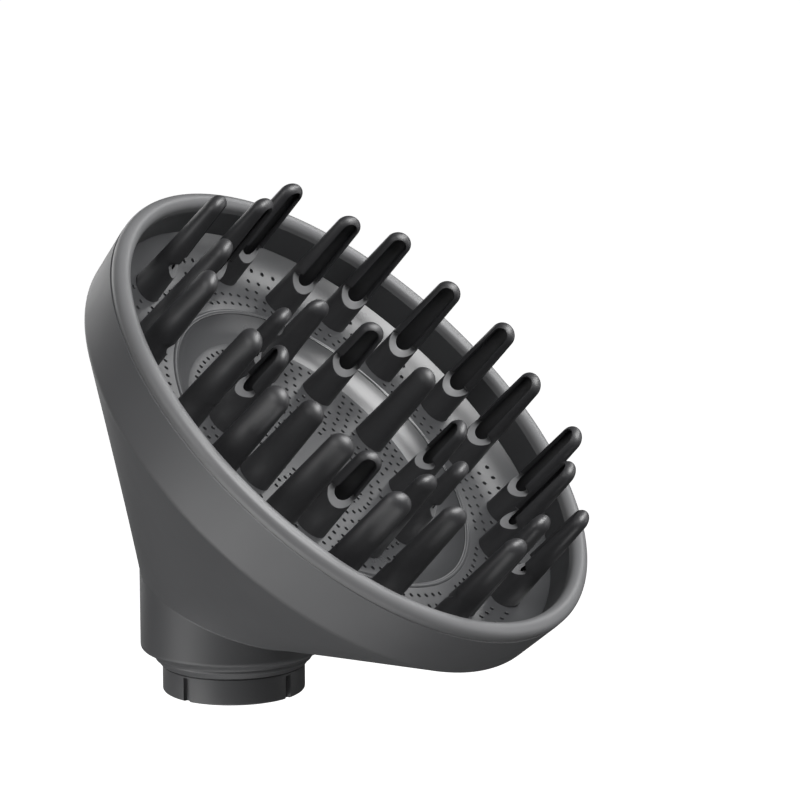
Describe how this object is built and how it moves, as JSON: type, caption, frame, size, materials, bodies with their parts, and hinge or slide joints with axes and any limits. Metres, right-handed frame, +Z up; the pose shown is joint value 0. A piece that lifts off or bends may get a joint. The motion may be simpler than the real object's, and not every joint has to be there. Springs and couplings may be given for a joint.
{
  "type": "dryer diffuser",
  "caption": "Tilted round diffuser dish with slotted prongs and perforated plates, on a slanted funnel with a straight neck and plug-in spigot.",
  "frame": {"origin": "centre of the spigot's lower end, where the head plugs into the styler", "axes": "+Z up along the neck axis, out of the styler; -Y is the side that the dish faces, and the dish axis leans 43.5 degrees from +Z towards -Y; +X completes the frame, and X = 0 is the plane of symmetry of the shell, the rim and the prongs"},
  "size_m": [0.1252, 0.1001, 0.1107],
  "materials": {
    "shell": "satin mid grey, fine moulded surface",
    "rim": "satin mid grey, smoother than the shell",
    "plate": "satin mid grey",
    "prong": "semi-gloss charcoal with soft highlights at the tips",
    "inner": "plain dark moulding, out of sight",
    "screw": "plain steel self-tapping screw"
  },
  "bodies": {
    "root": {"housing_shell": "shell", "coupling_spigot": "shell", "rim_bezel": "rim", "outer_plate": "plate", "inner_dish": "plate", "outer_prong_01": "prong", "outer_prong_02": "prong", "outer_prong_03": "prong", "outer_prong_04": "prong", "outer_prong_05": "prong", "outer_prong_06": "prong", "outer_prong_07": "prong", "outer_prong_08": "prong", "outer_prong_09": "prong", "outer_prong_10": "prong", "outer_prong_11": "prong", "outer_prong_12": "prong", "outer_prong_13": "prong", "outer_prong_14": "prong", "outer_prong_15": "prong", "outer_prong_16": "prong", "outer_prong_17": "prong", "outer_prong_18": "prong", "outer_prong_19": "prong", "outer_prong_20": "prong", "inner_prong_01": "prong", "inner_prong_02": "prong", "inner_prong_03": "prong", "inner_prong_04": "prong", "inner_prong_05": "prong", "inner_prong_06": "prong", "inner_prong_07": "prong", "inner_prong_08": "prong", "inner_prong_09": "prong", "inner_prong_10": "prong", "outer_backing_ring": "inner", "inner_backing_ring": "inner", "air_deflector": "inner", "outer_ring_screw_1": "screw", "outer_ring_screw_2": "screw", "outer_ring_screw_3": "screw", "outer_ring_screw_4": "screw", "outer_ring_screw_5": "screw", "inner_ring_screw_1": "screw", "inner_ring_screw_2": "screw", "inner_ring_screw_3": "screw", "inner_ring_screw_4": "screw", "inner_ring_screw_5": "screw", "deflector_screw": "screw"}
  },
  "joints": []
}
